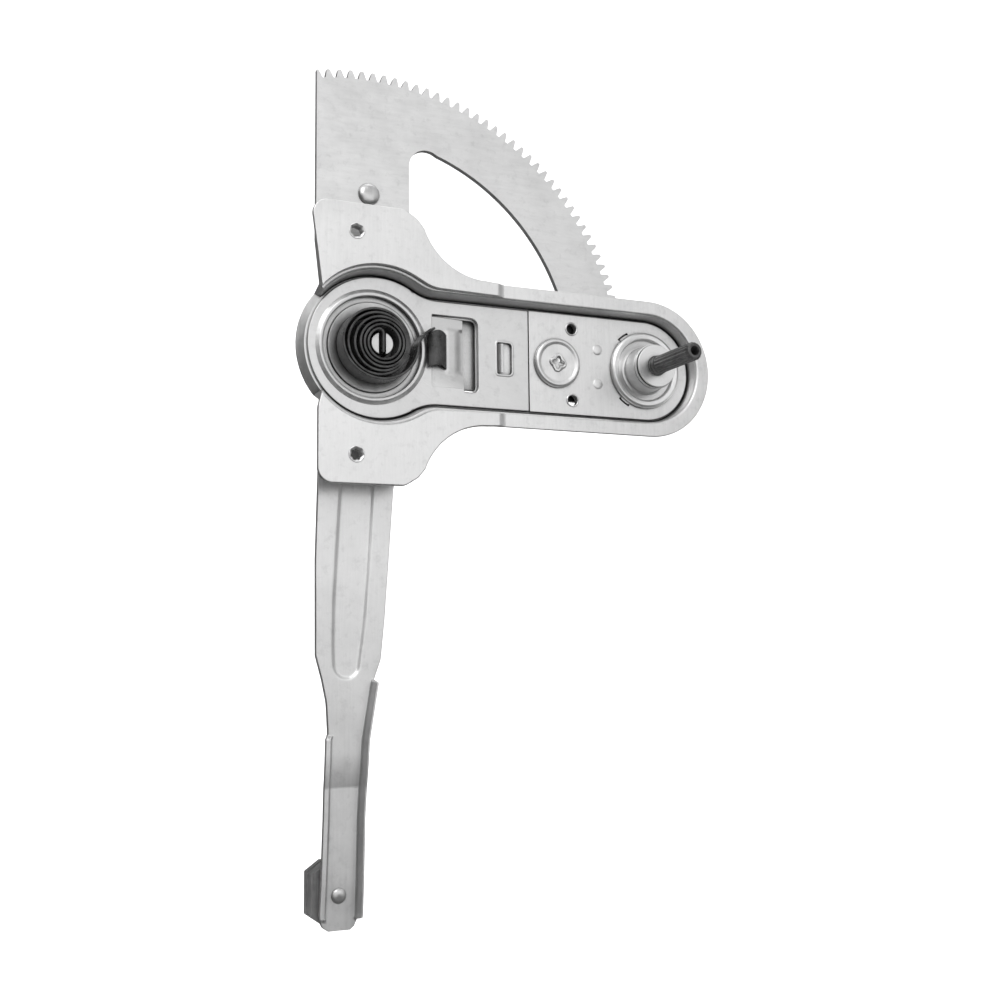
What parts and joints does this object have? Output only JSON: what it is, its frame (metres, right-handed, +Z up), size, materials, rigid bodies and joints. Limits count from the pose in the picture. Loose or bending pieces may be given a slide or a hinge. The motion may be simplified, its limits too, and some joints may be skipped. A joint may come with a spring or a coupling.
{
  "type": "window regulator",
  "caption": "Single-arm hand window regulator: sector gear, lift arm, spiral counterbalance spring, braked crank spindle in a pressed tray, guide shoe.",
  "frame": {"origin": "midway between the two wing screw holes, on the wings' front face", "axes": "+X from the sector pivot to the crank, +Z up, -Y out of the mechanism towards the crank handle"},
  "size_m": [0.2132, 0.0746, 0.3964],
  "materials": {
    "zinc_plate": "bright zinc plate, satin",
    "zinc_gear": "bright zinc plate, satin",
    "zinc_arm": "zinc plate, satin, darker towards the shoe",
    "zinc_small": "zinc plate",
    "spring_black": "blackened spring steel, semi-gloss",
    "spindle_black": "blackened steel",
    "nylon_grey": "moulded nylon"
  },
  "bodies": {
    "frame": {"base_plate": "zinc_plate", "upper_wing": "zinc_plate", "lower_wing": "zinc_plate", "ring_plate": "zinc_plate", "crank_plate": "zinc_plate", "guide_button": "zinc_small", "brake_drum": "zinc_plate", "drum_cap": "zinc_small", "spindle_bush": "zinc_small", "spiral_spring": "spring_black"},
    "sector": {"sector_gear": "zinc_gear", "lift_arm": "zinc_arm", "arm_rivet": "zinc_small", "pivot_post": "zinc_small", "pivot_washer": "zinc_small", "pivot_clip": "zinc_small", "shoe_stud": "zinc_small"},
    "crank": {"spindle": "spindle_black", "pinion": "zinc_small", "input_dog": "zinc_small", "brake_spring": "spring_black", "wave_washer": "zinc_small", "spindle_washer": "zinc_small", "pinion_clip": "zinc_small"},
    "shoe": {"guide_shoe": "nylon_grey"}
  },
  "joints": [
    {"name": "sector_pivot", "type": "hinge", "parent": "frame", "child": "sector", "pos_m": [0.012, 0.009, 0], "axis": [0, 1, 0], "range_deg": [0, 95], "deforming": ["spiral_spring"]},
    {"name": "crank_spin", "type": "hinge", "parent": "frame", "child": "crank", "pos_m": [0.15368, 0.009, 0], "axis": [0, 1, 0], "range_deg": [-1605, 0]},
    {"name": "shoe_swivel", "type": "hinge", "parent": "sector", "child": "shoe", "pos_m": [-0.0028, 0.02625, -0.2462], "axis": [0, 1, 0], "range_deg": [-110, 110]}
  ],
  "couplings": [
    {"joint": "crank_spin", "follows": "sector_pivot", "ratio": -16.889}
  ]
}
